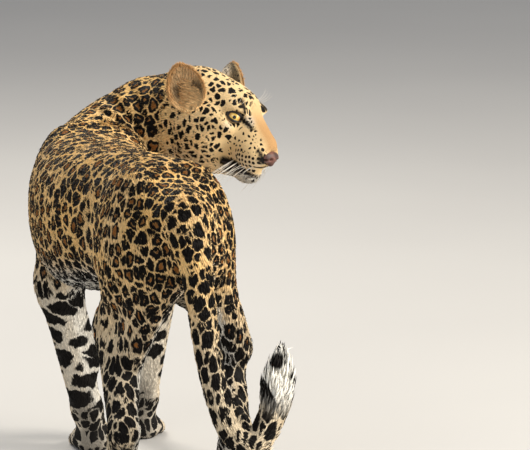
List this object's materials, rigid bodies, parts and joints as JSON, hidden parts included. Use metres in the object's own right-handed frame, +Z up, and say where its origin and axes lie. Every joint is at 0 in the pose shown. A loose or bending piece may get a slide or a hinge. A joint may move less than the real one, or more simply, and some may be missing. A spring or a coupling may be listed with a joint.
{
  "type": "leopard",
  "caption": "Life-size still leopard on all four feet, looking back over its right shoulder, with its tail hanging and the tip curled up.",
  "frame": {"origin": "centre of the animal's own box, at floor level", "axes": "+X from the hips towards the shoulders, +Y towards the animal's left side, +Z up"},
  "size_m": [0.8302, 0.456, 0.6779],
  "materials": {
    "coat": "matte",
    "ear": "matte",
    "nose": "satin",
    "eye": "gloss"
  },
  "bodies": {
    "root": {"head": "coat", "nose": "nose", "neck": "coat", "chest": "coat", "abdomen": "coat", "hindquarters": "coat", "tail_base": "coat", "tail_middle": "coat", "tail_tip": "coat", "foreleg_left": "coat", "foreleg_right": "coat", "hindleg_left": "coat", "hindleg_right": "coat", "paw_fore_left": "coat", "paw_fore_right": "coat", "paw_hind_left": "coat", "paw_hind_right": "coat", "ear_left": "ear", "ear_right": "ear", "eye_left": "eye", "eye_right": "eye"}
  },
  "joints": []
}
